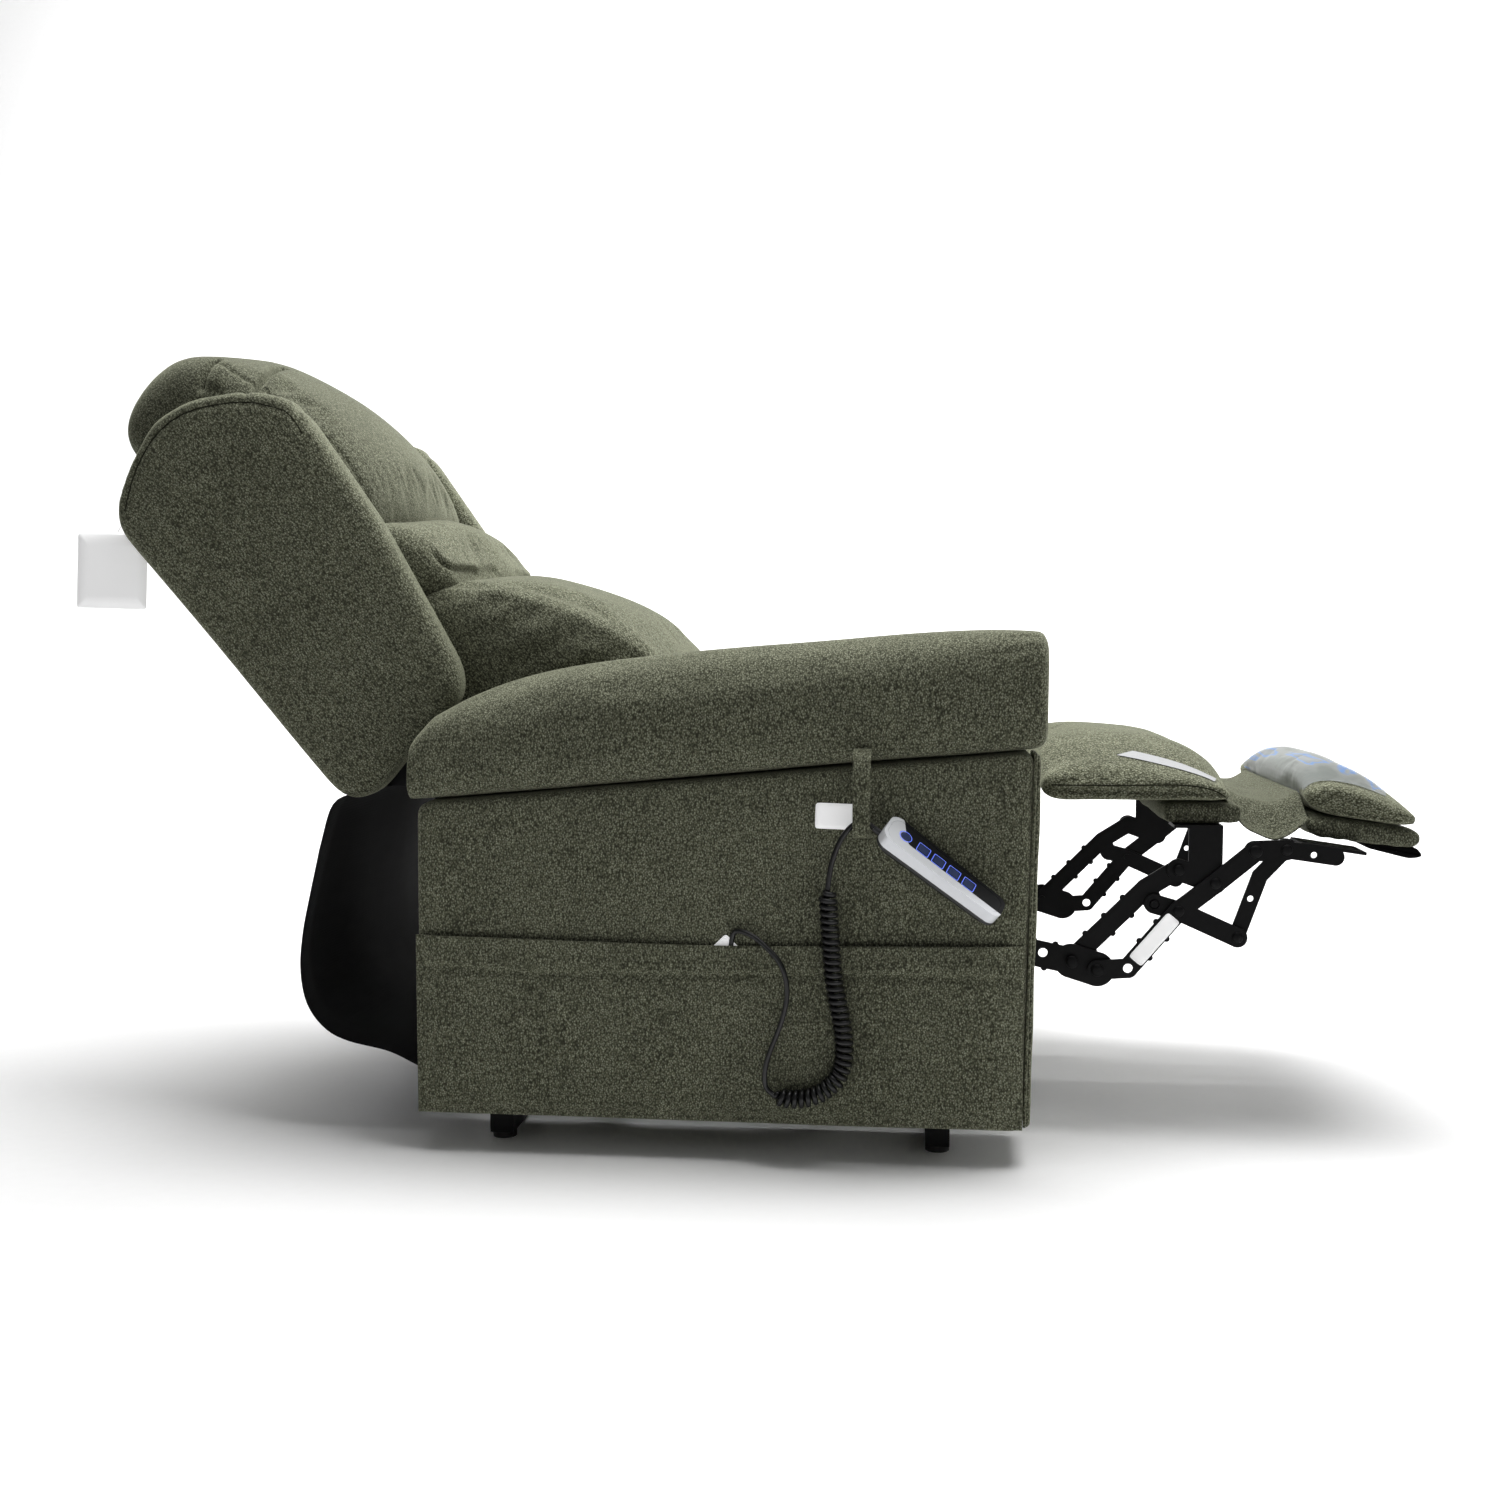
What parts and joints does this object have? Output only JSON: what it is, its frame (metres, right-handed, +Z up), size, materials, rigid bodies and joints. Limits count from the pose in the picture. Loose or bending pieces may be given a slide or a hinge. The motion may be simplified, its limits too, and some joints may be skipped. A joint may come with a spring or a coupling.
{
  "type": "lift recliner chair",
  "caption": "Powered lift recliner armchair: three-pillow wing back, padded arms, scissor leg rest with flip-out foot pad, lift base, corded handset.",
  "frame": {"origin": "on the floor under the middle of the side panels, at the middle floor tube of the base", "axes": "+X to the front of the chair, +Y to the sitter's left, +Z up; the leg rest is out and the back is reclined at rest"},
  "size_m": [1.6884, 0.824, 1.0289],
  "materials": {
    "steel": "satin",
    "glide": "matte",
    "spring_steel": "satin",
    "upholstery": "matte",
    "flap_cloth": "matte",
    "plywood": "matte",
    "motor_plastic": "matte",
    "rod_aluminium": "satin",
    "silver_plastic": "satin",
    "black_gloss": "gloss",
    "shell_plastic": "satin",
    "button_plastic": "gloss",
    "cord_rubber": "satin"
  },
  "bodies": {
    "base": {"base_frame": "steel", "base_glides": "glide", "lift_brackets": "steel"},
    "lift_arm": {"lift_arms": "steel"},
    "lift_link": {"lift_links": "steel"},
    "chassis": {"chassis_plates": "steel", "chassis_tubes": "steel", "seat_rails": "steel", "seat_springs": "spring_steel", "seat_cushion": "upholstery", "side_panel_right": "upholstery", "side_panel_left": "upholstery", "arm_right": "upholstery", "arm_left": "upholstery", "arm_fronts": "upholstery", "side_pocket": "upholstery", "back_flap": "flap_cloth", "power_box": "motor_plastic", "leg_motor": "motor_plastic", "handset_loop": "upholstery", "handset_back": "shell_plastic", "handset_shell": "silver_plastic", "handset_face": "black_gloss", "handset_cord": "cord_rubber", "handset_curl": "cord_rubber", "handset_lead": "cord_rubber"},
    "back": {"back_frame": "plywood", "back_brackets": "steel", "back_panel": "upholstery", "wing_right": "upholstery", "wing_left": "upholstery", "head_pillow": "upholstery", "middle_pillow": "upholstery", "lumbar_pillow": "upholstery"},
    "leg_rod": {"leg_motor_rod": "rod_aluminium"},
    "back_motor_tube": {"back_motor": "motor_plastic"},
    "back_rod": {"back_motor_rod": "rod_aluminium"},
    "swing_bar": {"swing_bars": "steel", "drive_tube": "steel"},
    "ottoman_link": {"ottoman_links": "steel"},
    "long_link": {"long_links": "steel"},
    "cross_link": {"cross_links": "steel"},
    "foot_link": {"foot_links": "steel"},
    "leg_rest": {"leg_brackets": "steel", "leg_board": "upholstery", "leg_cushion": "upholstery"},
    "foot_rest": {"foot_brackets": "steel", "foot_board": "flap_cloth", "foot_cushion": "upholstery"},
    "key_power": {"button_power": "button_plastic"},
    "key_1": {"button_1": "button_plastic"},
    "key_2": {"button_2": "button_plastic"},
    "key_3": {"button_3": "button_plastic"},
    "key_4": {"button_4": "button_plastic"}
  },
  "joints": [
    {"name": "lift", "type": "hinge", "parent": "base", "child": "lift_arm", "pos_m": [0.06, 0, 0.06], "axis": [0, 1, 0], "range_deg": [0, 52]},
    {"name": "lift_tilt", "type": "hinge", "parent": "lift_arm", "child": "chassis", "pos_m": [-0.314, 0, 0.126], "axis": [0, 1, 0], "range_deg": [-32.2, 0]},
    {"name": "lift_link_turn", "type": "hinge", "parent": "base", "child": "lift_link", "pos_m": [0.1245, 0, 0.0416], "axis": [0, 1, 0], "range_deg": [0, 58.62]},
    {"name": "recline", "type": "hinge", "parent": "chassis", "child": "back", "pos_m": [-0.2, 0, 0.455], "axis": [0, 1, 0], "range_deg": [0, 32]},
    {"name": "back_motor_swing", "type": "hinge", "parent": "chassis", "child": "back_motor_tube", "pos_m": [-0.345, 0, 0.15], "axis": [0, 1, 0], "range_deg": [-1.43, 0]},
    {"name": "back_motor_stroke", "type": "slide", "parent": "back_motor_tube", "child": "back_rod", "axis": [-0.0204, 0, 0.9998], "range_m": [0, 0.08935]},
    {"name": "footrest", "type": "hinge", "parent": "chassis", "child": "swing_bar", "pos_m": [0.339, 0, 0.425], "axis": [0, 1, 0], "range_deg": [0, 103.1]},
    {"name": "ottoman_link_turn", "type": "hinge", "parent": "swing_bar", "child": "ottoman_link", "pos_m": [0.42, 0, 0.226], "axis": [0, 1, 0], "range_deg": [-35, 0]},
    {"name": "long_link_turn", "type": "hinge", "parent": "swing_bar", "child": "long_link", "pos_m": [0.452, 0, 0.216], "axis": [0, 1, 0], "range_deg": [-34.8, 0]},
    {"name": "leg_rest_turn", "type": "hinge", "parent": "ottoman_link", "child": "leg_rest", "pos_m": [0.551, 0, 0.345], "axis": [0, 1, 0], "range_deg": [0, 24.3]},
    {"name": "cross_link_turn", "type": "hinge", "parent": "long_link", "child": "cross_link", "pos_m": [0.551, 0, 0.293], "axis": [0, 1, 0], "range_deg": [0, 39]},
    {"name": "foot_link_turn", "type": "hinge", "parent": "cross_link", "child": "foot_link", "pos_m": [0.625, 0, 0.26], "axis": [0, 1, 0], "range_deg": [-35.3, 0]},
    {"name": "foot_rest_turn", "type": "hinge", "parent": "long_link", "child": "foot_rest", "pos_m": [0.644, 0, 0.37], "axis": [0, 1, 0], "range_deg": [0, 83.1]},
    {"name": "leg_motor_stroke", "type": "slide", "parent": "chassis", "child": "leg_rod", "axis": [1, 0, 0], "range_m": [-0.05611, 0]},
    {"name": "press_power", "type": "slide", "parent": "chassis", "child": "key_power", "axis": [-0.5212, 0.5, -0.6916], "range_m": [0, 0.001], "stiffness_N_per_m": 600, "springref_m": -0.0006},
    {"name": "press_1", "type": "slide", "parent": "chassis", "child": "key_1", "axis": [-0.5212, 0.5, -0.6916], "range_m": [0, 0.001], "stiffness_N_per_m": 600, "springref_m": -0.0006},
    {"name": "press_2", "type": "slide", "parent": "chassis", "child": "key_2", "axis": [-0.5212, 0.5, -0.6916], "range_m": [0, 0.001], "stiffness_N_per_m": 600, "springref_m": -0.0006},
    {"name": "press_3", "type": "slide", "parent": "chassis", "child": "key_3", "axis": [-0.5212, 0.5, -0.6916], "range_m": [0, 0.001], "stiffness_N_per_m": 600, "springref_m": -0.0006},
    {"name": "press_4", "type": "slide", "parent": "chassis", "child": "key_4", "axis": [-0.5212, 0.5, -0.6916], "range_m": [0, 0.001], "stiffness_N_per_m": 600, "springref_m": -0.0006}
  ],
  "couplings": [
    {"joint": "lift_tilt", "follows": "lift", "ratio": -0.61538},
    {"joint": "lift_link_turn", "follows": "lift", "ratio": 1.1235},
    {"joint": "back_motor_swing", "follows": "recline", "ratio": -0.038573},
    {"joint": "back_motor_stroke", "follows": "recline", "m_per_rad": 0.15908},
    {"joint": "ottoman_link_turn", "follows": "footrest", "ratio": -0.33754},
    {"joint": "long_link_turn", "follows": "footrest", "ratio": -0.3356},
    {"joint": "leg_rest_turn", "follows": "footrest", "ratio": 0.23375},
    {"joint": "cross_link_turn", "follows": "footrest", "ratio": 0.37633},
    {"joint": "foot_link_turn", "follows": "footrest", "ratio": -0.34045},
    {"joint": "foot_rest_turn", "follows": "footrest", "ratio": 0.80407},
    {"joint": "leg_motor_stroke", "follows": "footrest", "m_per_rad": -0.030902}
  ]
}
